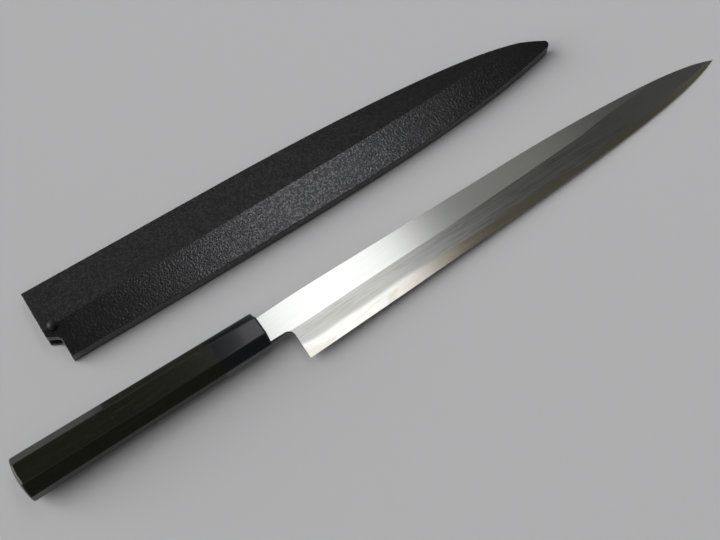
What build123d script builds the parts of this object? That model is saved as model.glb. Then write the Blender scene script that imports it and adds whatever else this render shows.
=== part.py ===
from build123d import *
import os
from math import atan, cos, degrees

# A long single-bevel slicing knife with an octagonal handle, lying on its flat back beside its wooden cover,
# the saya. Millimetres, +Z up, standing on Z = 0, with the knife's length centred along X.
#
# Each body is built in its own axes and then put in its place beside the other.
# Knife: +X from the ferrule's front face to the tip, +Y to the spine, +Z out of the bevelled side.
# Saya: +X from its mouth to its tip, +Y to its spine side, which is at Y = 0, and +Z up from its back.

overrun = 5.0  # how far every cutting shape passes the surface that it cuts

# Blade
blade_length = 331.5  # heel to tip
heel_setback = 14.2  # ferrule to heel, the length of the neck
spine_rise = 8.7  # handle's axis to the straight part of the spine
heel_drop = 29.2  # handle's axis to the heel's corner
tip_drop = 5.2  # handle's axis to the tip
straight_spine = 190.0  # ferrule to where the spine starts to fall
blade_thickness = 4.2  # at the neck
tip_thickness = 1.9  # what the flat faces would leave at the tip
edge_land = 0.25  # blunt flat left along the edge
shinogi_drop = 10.2  # handle's axis to the bevel's upper line, at the heel
shinogi_climb = 19.8  # what that line gains on its way to the tip, where it lies beyond the spine
spine_fall_shares = {2: 0.72, 10: 0.28}  # power of the way along: share of the whole fall or climb
edge_climb_shares = {1: 0.467, 4: 0.302, 14: 0.231}
shinogi_climb_shares = {1: 0.455, 4: 0.545}
blade_station_shares = (0, 0.12, 0.27, 0.42, 0.57, 0.7, 0.8, 0.87, 0.92, 0.96, 1)

# Neck and tang
neck_drop = 9.1  # handle's axis to the neck's underside
neck_dip = 1.3  # how far the spine falls towards the ferrule
neck_blend = 44.0  # ferrule to where that fall ends
neck_fillet = 4.6
tang_length = 96.0
tang_height = 11.0
tang_thickness = 3.6
tang_end_height = 5.5
tang_end_thickness = 2.4

# Hollow ground into the blade's back by a large round stone
ura_radius = 340.0
ura_edge_rim = 1.4
ura_spine_rim = 2.6
ura_shares = (
    (0.012, 0.35), (0.04, 0.8), (0.1, 1), (0.27, 1), (0.45, 1), (0.62, 1), (0.78, 1), (0.89, 0.8),
    (0.95, 0.35),
)

# Hard steel plate welded to the blade's back: way along the blade, share of the thickness there
scarf_start = 5.0  # ferrule to the thin end of the plate
weld_shares = (
    (0, 0.53), (0.04, 0.45), (0.09, 0.46), (0.15, 0.44), (0.22, 0.47), (0.29, 0.42), (0.36, 0.4),
    (0.41, 0.35), (0.46, 0.42), (0.51, 0.36), (0.56, 0.39), (0.62, 0.3), (0.69, 0.33), (0.77, 0.27),
    (0.85, 0.33), (0.93, 0.3),
    (1, 0.34),
)

# Handle
handle_length = 156.7  # over its domed butt
ferrule_length = 31.0
handle_front_height = 23.3
handle_front_thickness = 19.2
handle_butt_height = 26.0
handle_butt_thickness = 21.8
front_corner = 6.0  # flat cut off each corner of the section
butt_corner = 6.7
butt_dome_radius = 45.0
arris_fillet = 1.4  # along the handle and around both its ends
dowel_diameter = 14.0
dowel_length = 112.0
glue_line = 0.05
tang_clearance = 0.1

# Saya
saya_nose = 23.5  # blade's tip, when it is home, to where the saya's two sides would meet in a point
saya_width = 50.6
saya_ridge_height = 14.5
saya_tip_ridge_height = 12.6
straight_saya = 133.0  # mouth to where the spine side starts to fall
saya_spine_fall = 28.4  # spine side to that point
saya_ridge_drop = 30.5
saya_ridge_climb = 13.5
spine_facet_slope = 0.15  # fall of each upper facet for its width
edge_facet_slope = 0.225
saya_spine_shares = {2: 0.528, 8: 0.472}
saya_edge_shares = {1: 0.06, 2: 0.36, 6: 0.58}
saya_ridge_shares = {1: 0.667, 4: 0.333}
saya_station_shares = (0, 0.2, 0.37, 0.5, 0.63, 0.74, 0.83, 0.9, 0.95, 0.98, 1)
saya_tip_fillet = 2.4
back_fillet = 1.5
tongue_drop = 34.0  # spine side to the tongue's corner
tongue_fillet = 1.6
notch_drop = 37.7  # spine side to the foot of the tongue's slanting end
notch_depth = 7.0
notch_fillet = 4.0

# Slot for the blade
slot_clearance = 0.8  # past the blade's outline
face_clearance = 0.8  # on each of its faces
slot_floor = 2.6  # the saya's back to the slot
slot_tip_thickness = 4.7
slot_wall = 6.2  # the saya's spine side to the slot
ferrule_gap = 0.5  # tongue to ferrule when the blade is home

# Peg
peg_setback = 6.3  # mouth to the peg's axis
peg_drop = 30.9  # spine side to the peg's axis
peg_radius = 1.8
peg_point_radius = 1.4
peg_point_length = 3.0
peg_ball_radius = 2.8
peg_foot = 0.4  # the saya's back to the peg's end
peg_clearance = 0.1
peg_seat_gap = 0.3

# Where the saya lies beside the knife
saya_heading = -1.55  # degrees from the knife's length
saya_mouth_setback = 103.0  # ferrule's front to the saya's mouth
saya_offset = 99.7  # knife's axis to the mouth's spine side

tip_reach = heel_setback + blade_length
saya_length = tip_reach - ferrule_gap + saya_nose
ura_level = -blade_thickness / 2
slot_thickness = blade_thickness + 2 * face_clearance
taper_angle = degrees(atan((blade_thickness - tip_thickness) / tip_reach))

# The knife rests on its tip and on the lower front edge of its ferrule.
rest_slope = (handle_front_thickness - blade_thickness) / 2 / tip_reach
knife_x = (handle_length - tip_reach) / 2
knife_y = (heel_drop - saya_offset) / 2
knife_z = handle_front_thickness / 2 * cos(atan(rest_slope))
knife_place = Location((knife_x, knife_y, knife_z), (0, degrees(atan(rest_slope)), 0))
saya_place = Location((knife_x - saya_mouth_setback, knife_y + saya_offset, 0), (0, 0, saya_heading))


def across(x):
    """The plane across a body at x, whose own coordinates are the body's (y, z)."""
    return Plane.YZ.offset(x)


def follow(power_shares, way):
    """How much of a climb is done at a way from 0 to 1."""
    way = min(max(way, 0), 1)
    return sum(share * way**power for power, share in power_shares.items())


def end_slope(power_shares, climb, length):
    """How steep such a climb is at its far end."""
    return climb / length * sum(share * power for power, share in power_shares.items())


def spine_y(x):
    way = (x - straight_spine) / (tip_reach - straight_spine)
    return spine_rise - (spine_rise + tip_drop) * follow(spine_fall_shares, way)


def edge_y(x):
    climb = heel_drop - tip_drop
    return climb * follow(edge_climb_shares, (x - heel_setback) / blade_length) - heel_drop


def shinogi_y(x):
    return shinogi_climb * follow(shinogi_climb_shares, (x - heel_setback) / blade_length) - shinogi_drop


def thickness_at(x):
    return blade_thickness - (blade_thickness - tip_thickness) * x / tip_reach


def saya_spine_y(x):
    way = (x - straight_saya) / (saya_length - straight_saya)
    return -saya_spine_fall * follow(saya_spine_shares, way)


def saya_edge_y(x):
    return (saya_width - saya_spine_fall) * follow(saya_edge_shares, x / saya_length) - saya_width


def saya_ridge_y(x):
    return saya_ridge_climb * follow(saya_ridge_shares, x / saya_length) - saya_ridge_drop


def between(start, end, shares):
    """Places from start to end at the given shares of the way."""
    return [start + (end - start) * share for share in shares]


blade_stations = between(heel_setback, tip_reach, blade_station_shares)
spine_stations = between(straight_spine, tip_reach, blade_station_shares)
spine_tip_slope = end_slope(spine_fall_shares, spine_rise + tip_drop, tip_reach - straight_spine)


def bevel_section(x):
    """Section of the wedge that grinds the bevel away, from under the edge to over the shinogi."""
    foot = Vector(edge_y(x), ura_level + edge_land)
    head = Vector(shinogi_y(x), ura_level + thickness_at(x))
    bevel = (head - foot).normalized() * 2 * overrun
    low, high = foot - bevel, head + bevel
    with BuildSketch(across(x)) as section:
        with BuildLine():
            Polyline((low.X, low.Y), (high.X, high.Y), (low.X, high.Y), close=True)
        make_face()
    return section.sketch


def ura_section(way, width_share):
    """Section of the round stone that hollows the back, as deep as its width lets it cut."""
    x = heel_setback + way * blade_length
    low, high = edge_y(x) + ura_edge_rim, spine_y(x) - ura_spine_rim
    middle, half = (low + high) / 2, (high - low) / 2 * width_share
    depth = ura_radius - (ura_radius**2 - half**2) ** 0.5
    with BuildSketch(across(x)) as section:
        with BuildLine():
            ThreePointArc(
                (middle - half, ura_level), (middle, ura_level + depth), (middle + half, ura_level)
            )
            Polyline(
                (middle + half, ura_level),
                (middle + half, ura_level - overrun),
                (middle - half, ura_level - overrun),
                (middle - half, ura_level),
            )
        make_face()
    return section.sketch


# The whole blade as forged and ground, before it is told apart into its two steels
with BuildPart() as blade:
    with BuildSketch(Plane.XY.offset(ura_level)):
        with BuildLine():
            TangentArc((neck_blend, spine_rise), (0, spine_rise - neck_dip), tangent=(-1, 0))
            Line((0, spine_rise - neck_dip), (0, -neck_drop))
            FilletPolyline(
                (0, -neck_drop), (heel_setback, -neck_drop), (heel_setback, -heel_drop), radius=neck_fillet
            )
            Spline(*[(x, edge_y(x)) for x in blade_stations])
            Spline(
                *[(x, spine_y(x)) for x in reversed(spine_stations)],
                tangents=[(-1, spine_tip_slope), (-1, 0)],
                tangent_scalars=[1, 1],
            )
            Line((straight_spine, spine_rise), (neck_blend, spine_rise))
        make_face()
    extrude(amount=blade_thickness)
    split(bisect_by=Plane(Location((0, 0, blade_thickness / 2), (0, taper_angle, 0))), keep=Keep.BOTTOM)
    bevel_stations = [heel_setback - overrun, *blade_stations, tip_reach + overrun]
    loft([bevel_section(x) for x in bevel_stations], mode=Mode.SUBTRACT)
    loft([ura_section(way, share) for way, share in ura_shares], mode=Mode.SUBTRACT)

weld_stations = [(heel_setback + way * blade_length, share) for way, share in weld_shares]

# Everything below the weld, which waves along the blade, so that the bevel shows it as a wavy line
with BuildPart() as steel_plate:
    with BuildSketch(Plane.XZ):
        with BuildLine():
            weld_points = [(x, ura_level + share * thickness_at(x)) for x, share in weld_stations]
            Spline(*weld_points)
            Polyline(
                weld_points[-1],
                (tip_reach + overrun, weld_points[-1][1]),
                (tip_reach + overrun, ura_level - overrun),
                (scarf_start, ura_level - overrun),
                (scarf_start, ura_level),
                weld_points[0],
            )
        make_face()
    extrude(amount=heel_drop + overrun, both=True)

with BuildPart() as blade_core_steel:
    add(blade.part)
    add(steel_plate.part, mode=Mode.INTERSECT)
blade_core_steel.part.label = "blade_core_steel"

with BuildPart() as blade_cladding:
    add(blade.part)
    add(steel_plate.part, mode=Mode.SUBTRACT)
    with BuildSketch(across(0)):
        Rectangle(tang_height, tang_thickness)
    with BuildSketch(across(-tang_length)):
        Rectangle(tang_end_height, tang_end_thickness)
    loft()
blade_cladding.part.label = "blade_cladding"


def handle_section(x):
    """Octagonal section of the handle at x, which grows from the ferrule to the butt."""
    way = -x / handle_length
    height, thickness, corner = (
        front + (butt - front) * way
        for front, butt in (
            (handle_front_height, handle_butt_height),
            (handle_front_thickness, handle_butt_thickness),
            (front_corner, butt_corner),
        )
    )
    with BuildSketch(across(x)) as section:
        Rectangle(height, thickness)
        chamfer(section.vertices(), length=corner)
    return section.sketch


with BuildPart() as ferrule:
    loft([handle_section(0), handle_section(-ferrule_length)], ruled=True)
    long_edges = ferrule.edges().filter_by(lambda edge: edge.length > ferrule_length / 2)
    fillet([*long_edges, *ferrule.faces().sort_by(Axis.X)[-1].edges()], radius=arris_fillet)
    with BuildSketch(across(0)):
        Circle(dowel_diameter / 2 + glue_line)
    extrude(amount=-ferrule_length, mode=Mode.SUBTRACT)
ferrule.part.label = "ferrule"

with BuildPart() as handle_body:
    loft([handle_section(-ferrule_length), handle_section(-handle_length)], ruled=True)
    with BuildSketch(Plane.XZ):
        with BuildLine():
            dome = CenterArc((butt_dome_radius - handle_length, 0), butt_dome_radius, 180, -90)
            Line(dome @ 1, (butt_dome_radius, butt_dome_radius))
            Polyline((butt_dome_radius, butt_dome_radius), (butt_dome_radius, 0), dome @ 0)
        make_face()
    revolve(axis=Axis.X, mode=Mode.INTERSECT)
    long_edges = handle_body.edges().filter_by(lambda edge: edge.length > handle_length / 2)
    fillet([*long_edges, *handle_body.faces().sort_by(Axis.X)[0].edges()], radius=arris_fillet)
    with BuildSketch(across(-ferrule_length)):
        Circle(dowel_diameter / 2 + glue_line)
    extrude(amount=ferrule_length - dowel_length - glue_line, mode=Mode.SUBTRACT)
handle_body.part.label = "handle_body"

with BuildPart() as tang_dowel:
    with BuildSketch(across(0)):
        Circle(dowel_diameter / 2)
    extrude(amount=-dowel_length)
    with BuildSketch(across(0)):
        Rectangle(tang_height + 2 * tang_clearance, tang_thickness + 2 * tang_clearance)
    with BuildSketch(across(-tang_length - tang_clearance)):
        Rectangle(tang_end_height + 2 * tang_clearance, tang_end_thickness + 2 * tang_clearance)
    loft(mode=Mode.SUBTRACT)
tang_dowel.part.label = "tang_dowel"


def saya_ridge_z(x):
    return saya_ridge_height - (saya_ridge_height - saya_tip_ridge_height) * x / saya_length


def facet_section(x):
    """Section of what is planed off above the two upper facets."""
    y, z = saya_ridge_y(x), saya_ridge_z(x)
    reach = saya_width
    top = saya_ridge_height + overrun
    with BuildSketch(across(x)) as section:
        with BuildLine():
            Polyline(
                (y, z),
                (y + reach, z - reach * spine_facet_slope),
                (y + reach, top),
                (y - reach, top),
                (y - reach, z - reach * edge_facet_slope),
                close=True,
            )
        make_face()
    return section.sketch


saya_stations = between(notch_depth, saya_length, saya_station_shares)
saya_spine_stations = between(straight_saya, saya_length, saya_station_shares)
saya_tip_slope = end_slope(saya_spine_shares, saya_spine_fall, saya_length - straight_saya)
blade_seat_y = -slot_wall - slot_clearance - spine_rise  # the knife's axis when the blade is home

# The whole saya as it is glued up and planed, before it is told apart into leaves and strips
with BuildPart() as saya_block:
    with BuildSketch():
        with BuildLine():
            Line((straight_saya, 0), (0, 0))
            Polyline(
                (0, 0),
                (0, -tongue_drop),
                (notch_depth, -notch_drop),
                (notch_depth, saya_edge_y(notch_depth)),
            )
            Spline(*[(x, saya_edge_y(x)) for x in saya_stations])
            Spline(
                *[(x, saya_spine_y(x)) for x in reversed(saya_spine_stations)],
                tangents=[(-1, saya_tip_slope), (-1, 0)],
                tangent_scalars=[1, 1],
            )
        make_face()
    extrude(amount=saya_ridge_height)
    upright = saya_block.edges().filter_by(Axis.Z)
    for x, y, radius in (
        (saya_length, -saya_spine_fall, saya_tip_fillet),
        (0, -tongue_drop, tongue_fillet),
        (notch_depth, -notch_drop, notch_fillet),
    ):
        fillet(upright.sort_by_distance((x, y, saya_ridge_height / 2))[0], radius=radius)
    facet_stations = between(-overrun, saya_length + overrun, saya_station_shares)
    loft([facet_section(x) for x in facet_stations], mode=Mode.SUBTRACT)
    back_edges = saya_block.faces().sort_by(Axis.Z)[0].edges()
    fillet(back_edges.filter_by(lambda edge: edge.center().X > notch_depth + overrun), radius=back_fillet)

# The outline of the space that the blade slides into, open at the mouth
with BuildPart() as slot:
    with BuildSketch():
        with BuildLine():
            top = [(x - ferrule_gap, spine_y(x) + blade_seat_y + slot_clearance) for x in spine_stations]
            low = [(x - ferrule_gap, edge_y(x) + blade_seat_y - slot_clearance) for x in blade_stations]
            Polyline(top[0], (-overrun, top[0][1]), (-overrun, low[0][1]), low[0])
            Spline(*low)
            Polyline(low[-1], (low[-1][0] + slot_clearance, blade_seat_y - tip_drop), top[-1])
            Spline(*reversed(top))
        make_face()
    extrude(amount=saya_ridge_height)

slot_taper = degrees(atan((slot_thickness - slot_tip_thickness) / tip_reach))
slot_bed = Plane.XY.offset(slot_floor)
slot_roof = Plane(Location((0, 0, slot_floor + slot_thickness), (0, slot_taper, 0)))
peg_seat = Plane((peg_setback, -peg_drop, 0))

with BuildPart() as peg_hole:
    with BuildSketch(peg_seat):
        Circle(peg_radius + peg_clearance)
    extrude(amount=saya_ridge_height + overrun)

with BuildPart() as saya_front_leaf:
    add(saya_block.part)
    split(bisect_by=slot_roof, keep=Keep.TOP)
    add(peg_hole.part, mode=Mode.SUBTRACT)
saya_front_leaf.part.label = "saya_front_leaf"

with BuildPart() as saya_back_leaf:
    add(saya_block.part)
    split(bisect_by=slot_bed, keep=Keep.BOTTOM)
    add(peg_hole.part, mode=Mode.SUBTRACT)
saya_back_leaf.part.label = "saya_back_leaf"

# What is left between the leaves: a strip on each side of the slot, which meets the other beyond the tip
with BuildPart() as slot_walls:
    add(saya_block.part)
    split(bisect_by=slot_bed, keep=Keep.TOP)
    split(bisect_by=slot_roof, keep=Keep.BOTTOM)
    add(slot.part, mode=Mode.SUBTRACT)
tip_seam = Plane.XZ.offset(tip_drop - blade_seat_y)

with BuildPart() as saya_spine_strip:
    add(slot_walls.part)
    split(bisect_by=tip_seam, keep=Keep.BOTTOM)
saya_spine_strip.part.label = "saya_spine_strip"

with BuildPart() as saya_edge_strip:
    add(slot_walls.part)
    split(bisect_by=tip_seam, keep=Keep.TOP)
saya_edge_strip.part.label = "saya_edge_strip"

ball_drop = (peg_ball_radius**2 - peg_radius**2) ** 0.5  # ball's centre to where it meets the shank
ball_level = saya_ridge_z(peg_setback) + peg_seat_gap + ball_drop

with BuildPart() as saya_peg:
    with BuildSketch(Plane((peg_setback, -peg_drop, 0), x_dir=(1, 0, 0), z_dir=(0, -1, 0))):
        with BuildLine():
            Polyline(
                (0, ball_level + peg_ball_radius),
                (0, peg_foot),
                (peg_point_radius, peg_foot),
                (peg_radius, peg_foot + peg_point_length),
                (peg_radius, ball_level - ball_drop),
            )
            ThreePointArc(
                (peg_radius, ball_level - ball_drop),
                (peg_ball_radius, ball_level),
                (0, ball_level + peg_ball_radius),
            )
        make_face()
    revolve(axis=Axis(peg_seat.origin, peg_seat.z_dir))
saya_peg.part.label = "saya_peg"

os.makedirs("parts", exist_ok=True)
for place, pieces in (
    (knife_place, (blade_cladding, blade_core_steel, ferrule, handle_body, tang_dowel)),
    (saya_place, (saya_front_leaf, saya_back_leaf, saya_spine_strip, saya_edge_strip, saya_peg)),
):
    for piece in pieces:
        placed = piece.part.moved(place)
        placed.label = piece.part.label
        export_step(placed, f"parts/{placed.label}.step")
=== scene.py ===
import bmesh
import bpy
import math
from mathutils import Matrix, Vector

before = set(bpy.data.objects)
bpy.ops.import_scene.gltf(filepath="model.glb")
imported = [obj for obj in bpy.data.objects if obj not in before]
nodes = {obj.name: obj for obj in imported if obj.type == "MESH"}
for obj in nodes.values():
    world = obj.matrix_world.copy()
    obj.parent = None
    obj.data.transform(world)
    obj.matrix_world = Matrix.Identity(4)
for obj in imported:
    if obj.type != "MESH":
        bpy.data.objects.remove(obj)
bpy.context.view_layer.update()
print("frame loaded:", ", ".join(sorted(nodes)))


# Node helpers: each takes the tree it works in and returns the output that the next one reads

def startMaterial(name, look):
    material = bpy.data.materials.new(name)
    material.use_nodes = True
    shader = material.node_tree.nodes["Principled BSDF"]
    for socket, value in look.items():
        shader.inputs[socket].default_value = value
    return material, material.node_tree, shader


def feed(tree, socket, value):
    if isinstance(value, bpy.types.NodeSocket):
        tree.links.new(value, socket)
    else:
        socket.default_value = value


def calc(tree, operation, a, b=0.0):
    node = tree.nodes.new("ShaderNodeMath")
    node.operation = operation
    feed(tree, node.inputs[0], a)
    feed(tree, node.inputs[1], b)
    return node.outputs[0]


def plus(tree, a, b):
    return calc(tree, "ADD", a, b)


def minus(tree, a, b):
    return calc(tree, "SUBTRACT", a, b)


def times(tree, a, b):
    return calc(tree, "MULTIPLY", a, b)


def ramp(tree, value, low, high):  # 0 at low and 1 at high, with soft ends
    node = tree.nodes.new("ShaderNodeMapRange")
    node.interpolation_type = "SMOOTHSTEP"
    feed(tree, node.inputs["Value"], value)
    node.inputs["From Min"].default_value = low
    node.inputs["From Max"].default_value = high
    return node.outputs["Result"]


def spread(tree, value, low, high):  # low where value is 0 and high where it is 1
    node = tree.nodes.new("ShaderNodeMapRange")
    feed(tree, node.inputs["Value"], value)
    node.inputs["To Min"].default_value = low
    node.inputs["To Max"].default_value = high
    return node.outputs["Result"]


def mixColour(tree, share, a, b):
    node = tree.nodes.new("ShaderNodeMix")
    node.data_type = "RGBA"
    feed(tree, node.inputs["Factor"], share)
    feed(tree, node.inputs["A"], a if isinstance(a, bpy.types.NodeSocket) else (*a, 1))
    feed(tree, node.inputs["B"], b if isinstance(b, bpy.types.NodeSocket) else (*b, 1))
    return node.outputs["Result"]


def measured(tree, source, direction):  # an output of Texture Coordinate along a direction
    node = tree.nodes.new("ShaderNodeVectorMath")
    node.operation = "DOT_PRODUCT"
    tree.links.new(tree.nodes.new("ShaderNodeTexCoord").outputs[source], node.inputs[0])
    node.inputs[1].default_value = direction
    return node.outputs["Value"]


def along(tree, direction, offset=0.0):  # distance past a plane, in metres
    return minus(tree, measured(tree, "Object", direction), offset)


def facing(tree, direction):  # how much the surface faces a direction, from -1 to 1
    return measured(tree, "Normal", direction)


def mapped(tree, cellSize, turn=0.0):  # Object coordinates counted in cells of this size
    node = tree.nodes.new("ShaderNodeMapping")
    node.vector_type = "TEXTURE"
    node.inputs["Rotation"].default_value = (0, 0, turn)
    node.inputs["Scale"].default_value = cellSize
    place = tree.nodes.new("ShaderNodeTexCoord").outputs["Object"]
    tree.links.new(place, node.inputs["Vector"])
    return node.outputs["Vector"]


def noise(tree, cellSize, detail, roughness=0.5, distortion=0.0, turn=0.0):
    node = tree.nodes.new("ShaderNodeTexNoise")
    node.inputs["Scale"].default_value = 1
    node.inputs["Detail"].default_value = detail
    node.inputs["Roughness"].default_value = roughness
    node.inputs["Distortion"].default_value = distortion
    tree.links.new(mapped(tree, cellSize, turn), node.inputs["Vector"])
    return node.outputs["Fac"]


def specks(tree, cellSize):  # one level for each grain, from 0 to 1
    node = tree.nodes.new("ShaderNodeTexVoronoi")
    node.inputs["Scale"].default_value = 1
    tree.links.new(mapped(tree, cellSize), node.inputs["Vector"])
    level = tree.nodes.new("ShaderNodeSeparateColor")
    tree.links.new(node.outputs["Color"], level.inputs["Color"])
    return level.outputs["Red"]


def bump(tree, shader, height, depth, strength, softEdge=0.0, edgeSamples=6):
    node = tree.nodes.new("ShaderNodeBump")
    node.inputs["Strength"].default_value = strength
    node.inputs["Distance"].default_value = depth
    feed(tree, node.inputs["Height"], height)
    if softEdge:  # the radius that edges seem to have, a number or an output
        rounding = tree.nodes.new("ShaderNodeBevel")
        rounding.samples = edgeSamples
        feed(tree, rounding.inputs["Radius"], softEdge)
        tree.links.new(rounding.outputs["Normal"], node.inputs["Normal"])
    tree.links.new(node.outputs["Normal"], shader.inputs["Normal"])


def dress(name, material):
    node = nodes[name]
    if node.data.materials:
        node.data.materials[0] = material
    else:
        node.data.materials.append(material)


# Blade: polished flat, satin bevel with a misty grain, bright hard steel along the edge.
# Names that end in Range hold the levels at which a look starts and is complete.

blade = {
    "pitch": math.radians(1.2426),  # it lies on its back, so its axis falls towards the tip
    "neckX": -0.0945,  # where the axis leaves the ferrule
    "axisZ": 0.0096,  # and how high it is there
    "backDepth": 0.0021,  # from the axis down to the back's flat rims
    "flatColour": (0.580, 0.590, 0.545),
    "flatScratchColour": (0.550, 0.560, 0.515),
    "flatScratchRange": (0.3, 0.7),
    "flatRoughness": 0.18,
    "bevelColour": (0.355, 0.360, 0.322),
    "mistColour": (0.285, 0.292, 0.240),
    "mistRange": (0.38, 0.66),
    "bevelScratchColour": (0.39, 0.395, 0.37),
    "bevelScratchRange": (0.35, 0.65),
    "bevelRoughness": 0.21,
    "bevelStreaks": (-0.05, 0.05),  # what scratches add to the roughness
    "bevelLean": (-0.08, -0.14),
    # painted shade: the spine and the neck's side walls get a near-black colour for the shade
    # they sit in
    "paintedSideShade": (0.10, 0.10, 0.10),
    "sideLean": (0.75, 0.55),
    "ironClouds": {
        "cellSize": (0.03, 0.006, 0.006),
        "detail": 5, "roughness": 0.6, "distortion": 0.6,
    },
    "steelColour": (0.54, 0.535, 0.49),
    "steelTint": (0.45, 0.43, 0.355),
    "steelTintRange": (0.45, 0.75),
    "steelClouds": {
        "cellSize": (0.03, 0.006, 0.006),
        "detail": 5, "roughness": 0.65, "distortion": 0.8,
    },
    "warmSteelColour": (0.52, 0.465, 0.335),
    "warmShare": 0.8,
    "warmRange": (-0.025, 0.05),  # the x over which the steel turns brown
    "steelRoughness": 0.155,
    "steelStreaks": (-0.04, 0.04),
    "tipDulling": 0.12,
    "tipRange": (0.17, 0.24),  # the x over which the steel turns dull
    "hollowColour": (0.55, 0.555, 0.555),
    "hollowRoughness": 0.4,
    "hollowDepth": (0.00001, 0.00008),
    "hollowLean": (-0.8, -0.9),
    "coarseScratches": {"cellSize": (0.09, 0.0011, 0.0011), "detail": 2},
    "fineScratches": {"cellSize": (0.04, 0.0006, 0.0006), "detail": 1},
    "coarseShare": 0.6,
}
weld = {
    "heelX": 0.0142,  # from the ferrule
    "length": 0.3315,
    "thickness": (0.0042, 0.0019),  # of the blade, at the ferrule and at the tip
    "shares": (  # way from heel to tip, and share of the thickness at which iron and steel meet
        (0, 0.53), (0.04, 0.45), (0.09, 0.46), (0.15, 0.44), (0.22, 0.47), (0.29, 0.42),
        (0.36, 0.4), (0.41, 0.35), (0.46, 0.42), (0.51, 0.36), (0.56, 0.39), (0.62, 0.3),
        (0.69, 0.33), (0.77, 0.27), (0.85, 0.33), (0.93, 0.3), (1, 0.34),
    ),
    "mist": 0.0002,  # height over which one metal's look fades into the other's
    "mistShare": 0.5,  # of the other metal's look, at the line itself
}


def scratches(tree):  # fine lines that run along the blade
    coarse = noise(tree, **blade["coarseScratches"])
    fine = noise(tree, **blade["fineScratches"])
    share = blade["coarseShare"]
    return plus(tree, times(tree, coarse, share), times(tree, fine, 1 - share))


def bladeHeight(tree):  # 0 on the flat rims of the back
    up = (math.sin(blade["pitch"]), 0, math.cos(blade["pitch"]))
    axis = blade["neckX"] * up[0] + blade["axisZ"] * up[2]
    return along(tree, up, axis - blade["backDepth"])


def weldMist(tree):  # mistShare at the weld line, and 0 where a metal has its own look
    onward = (math.cos(blade["pitch"]), 0, -math.sin(blade["pitch"]))
    reach = along(tree, onward, blade["neckX"] * onward[0] + blade["axisZ"] * onward[2])
    way = calc(tree, "DIVIDE", minus(tree, reach, weld["heelX"]), weld["length"])
    curve = tree.nodes.new("ShaderNodeFloatCurve")
    feed(tree, curve.inputs["Value"], way)
    points = curve.mapping.curves[0].points
    points[0].location, points[1].location = weld["shares"][0], weld["shares"][-1]
    for share in weld["shares"][1:-1]:
        points.new(*share)
    curve.mapping.update()
    neck, tip = weld["thickness"]
    thinning = (tip - neck) / (weld["heelX"] + weld["length"])
    thickness = plus(tree, times(tree, reach, thinning), neck)
    weldHeight = times(tree, curve.outputs["Value"], thickness)
    away = calc(tree, "ABSOLUTE", minus(tree, bladeHeight(tree), weldHeight))
    return times(tree, ramp(tree, away, weld["mist"], 0), weld["mistShare"])


def weldDulling(tree, mist):  # more roughness for the steel, less for the iron
    return times(tree, mist, blade["bevelRoughness"] - blade["steelRoughness"])


def claddingMaterial():
    material, tree, shader = startMaterial("claddingIron", {"Metallic": 1.0})
    onBevel = ramp(tree, facing(tree, (0, 1, 0)), *blade["bevelLean"])
    onSide = ramp(tree, facing(tree, (0, 0, 1)), *blade["sideLean"])
    lines = scratches(tree)
    mist = weldMist(tree)

    misty = ramp(tree, noise(tree, **blade["ironClouds"]), *blade["mistRange"])
    bevel = mixColour(tree, misty, blade["bevelColour"], blade["mistColour"])
    bevelLines = ramp(tree, lines, *blade["bevelScratchRange"])
    bevel = mixColour(tree, bevelLines, bevel, blade["bevelScratchColour"])
    bevel = mixColour(tree, mist, bevel, blade["steelColour"])
    flatLines = ramp(tree, lines, *blade["flatScratchRange"])
    flat = mixColour(tree, flatLines, blade["flatColour"], blade["flatScratchColour"])
    colour = mixColour(tree, onBevel, flat, bevel)
    # painted shade: faces turned away from the top are coloured near black for the shade that
    # falls on them
    colour = mixColour(tree, onSide, colour, blade["paintedSideShade"])
    feed(tree, shader.inputs["Base Color"], colour)

    rough = spread(tree, onBevel, blade["flatRoughness"], blade["bevelRoughness"])
    rough = minus(tree, rough, weldDulling(tree, mist))
    streaks = times(tree, spread(tree, lines, *blade["bevelStreaks"]), onBevel)
    feed(tree, shader.inputs["Roughness"], plus(tree, rough, streaks))
    return material


def steelMaterial():
    material, tree, shader = startMaterial("hardSteel", {"Metallic": 1.0})
    x = along(tree, (1, 0, 0))
    mist = weldMist(tree)
    inside = ramp(tree, bladeHeight(tree), *blade["hollowDepth"])
    onBack = ramp(tree, facing(tree, (0, 0, 1)), *blade["hollowLean"])
    inHollow = times(tree, inside, onBack)

    tinted = ramp(tree, noise(tree, **blade["steelClouds"]), *blade["steelTintRange"])
    front = mixColour(tree, tinted, blade["steelColour"], blade["steelTint"])
    warmth = times(tree, ramp(tree, x, *blade["warmRange"]), blade["warmShare"])
    front = mixColour(tree, warmth, front, blade["warmSteelColour"])
    front = mixColour(tree, mist, front, blade["bevelColour"])
    colour = mixColour(tree, inHollow, front, blade["hollowColour"])
    feed(tree, shader.inputs["Base Color"], colour)

    rough = spread(tree, inHollow, blade["steelRoughness"], blade["hollowRoughness"])
    rough = plus(tree, rough, times(tree, ramp(tree, x, *blade["tipRange"]), blade["tipDulling"]))
    rough = plus(tree, rough, weldDulling(tree, mist))
    streaks = spread(tree, scratches(tree), *blade["steelStreaks"])
    feed(tree, shader.inputs["Roughness"], plus(tree, rough, streaks))
    return material


dress("blade_cladding", claddingMaterial())
dress("blade_core_steel", steelMaterial())
print("blade dressed")


# Handle: polished ebony behind a ferrule of black horn, on a wooden dowel.
# A relief is the depth of the bump and its strength.

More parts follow.
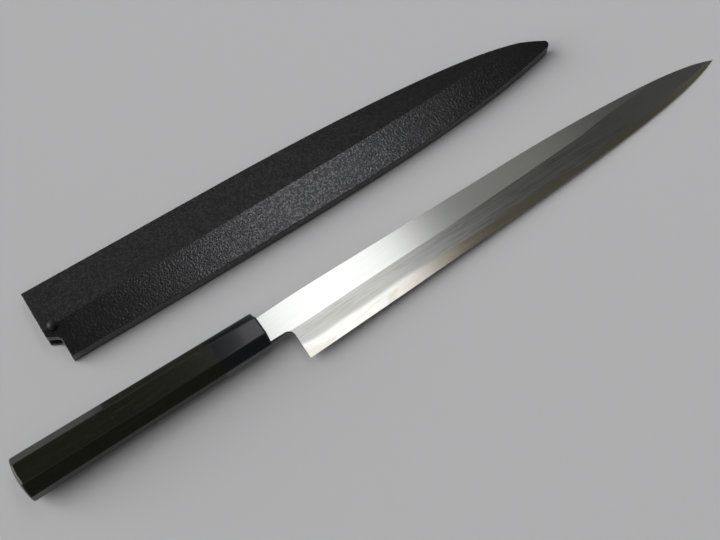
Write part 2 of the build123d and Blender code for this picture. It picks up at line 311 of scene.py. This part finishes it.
ebony = {
    "colour": (0.0088, 0.0089, 0.0053),
    "streakColour": (0.0165, 0.0158, 0.0090),
    "streakRange": (0.5, 0.78),
    "fibres": {
        "cellSize": (0.05, 0.0009, 0.0009),
        "detail": 6, "roughness": 0.62, "distortion": 0.3,
    },
    "pores": {"cellSize": (0.006, 0.00022, 0.00022), "detail": 2},
    "poreRange": (0.62, 0.74),
    "roughness": (0.17, 0.34),  # of the polish, and in a pore
    "unevenness": (-0.04, 0.05),  # what the fibres add to it
    "shine": 0.36,
    "relief": (0.00003, 0.12),
}


def ebonyMaterial():
    material, tree, shader = startMaterial("ebony", {"Specular IOR Level": ebony["shine"]})
    fibres = noise(tree, **ebony["fibres"])
    pore = ramp(tree, noise(tree, **ebony["pores"]), *ebony["poreRange"])
    streak = ramp(tree, fibres, *ebony["streakRange"])
    colour = mixColour(tree, streak, ebony["colour"], ebony["streakColour"])
    feed(tree, shader.inputs["Base Color"], colour)
    uneven = spread(tree, fibres, *ebony["unevenness"])
    rough = plus(tree, uneven, spread(tree, pore, *ebony["roughness"]))
    feed(tree, shader.inputs["Roughness"], rough)
    bump(tree, shader, minus(tree, fibres, pore), *ebony["relief"])
    return material


horn = {
    "colour": (0.0045, 0.005, 0.0062),
    "streakColour": (0.015, 0.017, 0.0205),
    "streakRange": (0.5, 0.85),
    "streakAndSheenShare": (0.25, 1.0),  # behind the hazy front, and in it, where the fuller streaks are a painted highlight on top of the real ones
    "layers": {
        "cellSize": (0.03, 0.0016, 0.0016),
        "detail": 5, "roughness": 0.55, "distortion": 1.2,
    },
    "roughness": (0.09, 0.20),
    "shine": 0.4,
    "coat": 0.45,
    "coatRoughness": (0.06, 0.26),  # behind the hazy front, and in it
    "hazeAndSheenRange": (-0.016, 0.002),  # from the ferrule's front face; this zone gets a rougher coat and a painted highlight
    "relief": (0.00002, 0.25),
    "rimRadius": 0.001,
}


def hornMaterial():
    look = {"Specular IOR Level": horn["shine"], "Coat Weight": horn["coat"]}
    material, tree, shader = startMaterial("blackHorn", look)
    layers = noise(tree, **horn["layers"])
    frontHazeAndSheen = ramp(tree, along(tree, (1, 0, 0), blade["neckX"]), *horn["hazeAndSheenRange"])
    streak = ramp(tree, layers, *horn["streakRange"])
    # painted highlight: the horn's real streaks are filled in near the front face, lightening it
    # for the light it catches there
    streak = times(tree, streak, spread(tree, frontHazeAndSheen, *horn["streakAndSheenShare"]))
    colour = mixColour(tree, streak, horn["colour"], horn["streakColour"])
    feed(tree, shader.inputs["Base Color"], colour)
    feed(tree, shader.inputs["Roughness"], spread(tree, layers, *horn["roughness"]))
    feed(tree, shader.inputs["Coat Roughness"], spread(tree, frontHazeAndSheen, *horn["coatRoughness"]))
    bump(tree, shader, layers, *horn["relief"], softEdge=times(tree, frontHazeAndSheen, horn["rimRadius"]))
    return material


dowel = {
    "colour": (0.62, 0.49, 0.32),
    "fibreColour": (0.45, 0.33, 0.19),
    "fibreRange": (0.35, 0.7),
    "fibres": {"cellSize": (0.03, 0.0007, 0.0007), "detail": 5},
    "scorchColour": (0.045, 0.032, 0.022),  # where the hot tang went in
    "scorchRange": (-0.006, -0.001),  # from the ferrule's front face
    "roughness": 0.6,
    "relief": (0.00006, 0.4),
}


def dowelMaterial():
    material, tree, shader = startMaterial("dowelWood", {"Roughness": dowel["roughness"]})
    fibres = noise(tree, **dowel["fibres"])
    fibre = ramp(tree, fibres, *dowel["fibreRange"])
    colour = mixColour(tree, fibre, dowel["colour"], dowel["fibreColour"])
    scorch = ramp(tree, along(tree, (1, 0, 0), blade["neckX"]), *dowel["scorchRange"])
    colour = mixColour(tree, scorch, colour, dowel["scorchColour"])
    feed(tree, shader.inputs["Base Color"], colour)
    bump(tree, shader, fibres, *dowel["relief"])
    return material


dress("handle_body", ebonyMaterial())
dress("ferrule", hornMaterial())
dress("tang_dowel", dowelMaterial())
print("handle dressed")


# Saya: stone-textured black lacquer outside, bare pale wood in the slot

saya = {
    "turn": math.radians(-1.55),
    "mouth": Vector((-0.1975, 0.06445, 0)),  # its corner on the spine side
    "middleDrop": 0.026,  # from that side to the slot's middle, at the mouth
    "middleClimb": 0.005 / 0.346,  # of the middle, along the slot
    "slotRange": (0.012, 0.020),  # how far the black goes in from the mouth
    "slotEnd": (0.3475, 0.3465),
    "slotFaceLean": (0.6, 0.8),
    "slotWallLean": (-0.35, -0.5),
    "lacquerColour": (0.0032, 0.0032, 0.0029),
    "speckColour": (0.0048, 0.0049, 0.0047),
    "speckRange": (0.3, 1.0),
    "speckCell": (0.0009, 0.0009, 0.0009),
    "roughness": (0.25, 0.17),  # of the dull grains and of the shining ones
    "shine": (0.50, 0.95),
    "patches": {"cellSize": (0.02, 0.012, 0.012), "detail": 3},
    "unevenness": (-0.04, 0.04),  # what the patches add to the roughness
    "grit": {"cellSize": (0.0011, 0.0011, 0.0011), "detail": 1},
    "relief": (0.00014, 0.9),
    "edgeRadius": 0.0008,
    "woodColour": (0.64, 0.52, 0.36),
    "fibreColour": (0.50, 0.38, 0.24),
    "fibreRange": (0.35, 0.7),
    "fibres": {"cellSize": (0.04, 0.0008, 0.0008), "detail": 5},
    "woodDulling": 0.2,
}


def bareWood(tree, seams):  # 1 inside the slot, behind the black of its mouth
    alongSaya = (math.cos(saya["turn"]), math.sin(saya["turn"]), 0)
    acrossSaya = (-math.sin(saya["turn"]), math.cos(saya["turn"]), 0)
    u = along(tree, alongSaya, saya["mouth"].dot(Vector(alongSaya)))
    v = along(tree, acrossSaya, saya["mouth"].dot(Vector(acrossSaya)))
    middle = minus(tree, times(tree, u, saya["middleClimb"]), saya["middleDrop"])
    side = calc(tree, "SIGN", minus(tree, v, middle))
    outward = times(tree, side, facing(tree, acrossSaya))
    lean = facing(tree, (0, 0, 1))
    if seams == "both":
        lean = calc(tree, "ABSOLUTE", lean)
    elif seams == "down":
        lean = times(tree, lean, -1)
    onFace = ramp(tree, lean, *saya["slotFaceLean"])
    onWall = ramp(tree, outward, *saya["slotWallLean"])
    inSlot = times(tree, ramp(tree, u, *saya["slotRange"]), ramp(tree, u, *saya["slotEnd"]))
    return times(tree, inSlot, calc(tree, "MAXIMUM", onFace, onWall))


def lacquerMaterial(name, seams):  # seams are the ways that glued faces look, up, down or both
    material, tree, shader = startMaterial(name, {})
    bare = bareWood(tree, seams)
    speck = ramp(tree, specks(tree, saya["speckCell"]), *saya["speckRange"])  # the shining grains
    lacquer = mixColour(tree, speck, saya["lacquerColour"], saya["speckColour"])
    fibres = noise(tree, **saya["fibres"], turn=saya["turn"])
    fibre = ramp(tree, fibres, *saya["fibreRange"])
    wood = mixColour(tree, fibre, saya["woodColour"], saya["fibreColour"])
    feed(tree, shader.inputs["Base Color"], mixColour(tree, bare, lacquer, wood))
    feed(tree, shader.inputs["Specular IOR Level"], spread(tree, speck, *saya["shine"]))
    uneven = spread(tree, noise(tree, **saya["patches"]), *saya["unevenness"])
    rough = plus(tree, uneven, spread(tree, speck, *saya["roughness"]))
    rough = plus(tree, rough, times(tree, bare, saya["woodDulling"]))
    feed(tree, shader.inputs["Roughness"], rough)
    bump(tree, shader, noise(tree, **saya["grit"]), *saya["relief"], softEdge=saya["edgeRadius"])
    return material


peg = {
    "colour": (0.006, 0.0056, 0.005),
    "fibreColour": (0.016, 0.013, 0.010),
    "fibreRange": (0.4, 0.75),
    "fibres": {"cellSize": (0.0006, 0.0006, 0.006), "detail": 4},
    "roughness": 0.55,
    "shine": 0.4,
    "relief": (0.00003, 0.3),
}


def pegMaterial():
    look = {"Roughness": peg["roughness"], "Specular IOR Level": peg["shine"]}
    material, tree, shader = startMaterial("pegWood", look)
    fibres = noise(tree, **peg["fibres"])
    fibre = ramp(tree, fibres, *peg["fibreRange"])
    colour = mixColour(tree, fibre, peg["colour"], peg["fibreColour"])
    feed(tree, shader.inputs["Base Color"], colour)
    bump(tree, shader, fibres, *peg["relief"])
    return material


stripLacquer = lacquerMaterial("stripLacquer", "both")
dress("saya_front_leaf", lacquerMaterial("frontLacquer", "down"))
dress("saya_back_leaf", lacquerMaterial("backLacquer", "up"))
dress("saya_spine_strip", stripLacquer)
dress("saya_edge_strip", stripLacquer)
dress("saya_peg", pegMaterial())
print("saya dressed")


# Table, light and camera

table = {
    "size": 60.0,
    "level": -0.00005,
    "colour": (0.45, 0.45, 0.455),
    "roughness": 0.7,
    "shine": 0.2,
}
softboxes = {
    "keySoftbox": {
        "place": (0.370, 0.275, 1.5),
        "target": (0.370, 0.275, 0),
        "size": (0.39, 1.25),
        "radiance": 2.10,
        "turn": -4,
        "colour": (0.95, 0.945, 1.0),
    },
    "tipSoftbox": {
        "place": (0.88, 0.85, 1.5),
        "target": (0.88, 0.85, 0),
        "size": (0.30, 0.9),
        "radiance": 0.18,
    },
    "backSoftbox": {
        "place": (0.15, 1.7, 1.65),
        "target": (0, 0.05, 0),
        "size": (1.3, 1.1),
        "radiance": 0.25,
    },
}
window = {  # a wide soft light from the left, the same over the whole table
    "from": (-0.78, 0.35, 0.52),
    "strength": 3.7,
    "spread": math.radians(62),
}
room = {  # ranges of the way that one looks, along an axis
    "light": (0.08, 0.45),  # in the dark parts and in the lit ones
    "wallTop": (0.62, 0.3),  # z
    "wallSide": (-0.45, 0.1),  # y
    "horizon": (0.1, 0.04),  # z
    "nearSide": (-0.2, -0.55),  # y
    "leftSide": (-0.3, -0.6),  # x
    "ceiling": (0.45, 0.6),  # z
    "ceilingShare": 0.8,
}
view = {
    "place": (-0.19242, -0.27361, 0.63361),
    "target": (-0.02370, -0.03240, 0),
    "lens": 58.4,
    "clipStart": 0.01,
}


def aim(thing, place, target):
    thing.location = place
    way = Vector(target) - Vector(place)
    thing.rotation_euler = way.to_track_quat("-Z", "Y").to_euler()
    bpy.context.scene.collection.objects.link(thing)


def addTable():
    mesh = bpy.data.meshes.new("table")
    shape = bmesh.new()
    bmesh.ops.create_grid(shape, x_segments=1, y_segments=1, size=table["size"] / 2)
    bmesh.ops.translate(shape, verts=shape.verts, vec=(0, 0, table["level"]))
    shape.to_mesh(mesh)
    shape.free()
    floor = bpy.data.objects.new("table", mesh)
    bpy.context.scene.collection.objects.link(floor)
    look = {
        "Base Color": (*table["colour"], 1),
        "Roughness": table["roughness"],
        "Specular IOR Level": table["shine"],
    }
    mesh.materials.append(startMaterial("paleTable", look)[0])


def addSoftbox(name, place, target, size, radiance, turn=0, colour=(1, 1, 1)):
    light = bpy.data.lights.new(name, "AREA")
    light.shape = "RECTANGLE"
    light.size, light.size_y = size
    light.energy = radiance * size[0] * size[1] * math.pi
    light.color = colour
    lamp = bpy.data.objects.new(name, light)
    aim(lamp, place, target)
    lamp.rotation_euler.rotate_axis("Z", math.radians(turn))


def addWindow():
    light = bpy.data.lights.new("window", "SUN")
    light.energy = window["strength"]
    light.angle = window["spread"]
    aim(bpy.data.objects.new("window", light), window["from"], (0, 0, 0))


def lightRoom():
    world = bpy.data.worlds.new("studio")
    bpy.context.scene.world = world
    world.use_nodes = True
    tree = world.node_tree
    look = tree.nodes.new("ShaderNodeSeparateXYZ")
    way = tree.nodes.new("ShaderNodeTexCoord").outputs["Generated"]
    tree.links.new(way, look.inputs["Vector"])
    x, y, z = look.outputs
    farWalls = times(tree, ramp(tree, z, *room["wallTop"]), ramp(tree, y, *room["wallSide"]))
    nearSide = ramp(tree, y, *room["nearSide"])
    ourSide = calc(tree, "MAXIMUM", nearSide, ramp(tree, x, *room["leftSide"]))
    overhead = spread(tree, ramp(tree, z, *room["ceiling"]), 0, room["ceilingShare"])
    lit = calc(tree, "MAXIMUM", farWalls, ramp(tree, z, *room["horizon"]))
    lit = calc(tree, "MAXIMUM", lit, times(tree, ourSide, overhead))
    background = tree.nodes["Background"].inputs
    background["Color"].default_value = (1, 1, 1, 1)
    feed(tree, background["Strength"], spread(tree, lit, *room["light"]))


def addCamera():
    camera = bpy.data.objects.new("camera", bpy.data.cameras.new("camera"))
    camera.data.lens = view["lens"]
    camera.data.clip_start = view["clipStart"]
    aim(camera, view["place"], view["target"])
    bpy.context.scene.camera = camera


addTable()
addWindow()
for name, softbox in softboxes.items():
    addSoftbox(name, **softbox)
lightRoom()
addCamera()
bpy.context.scene.view_settings.view_transform = "Standard"
print("studio set")
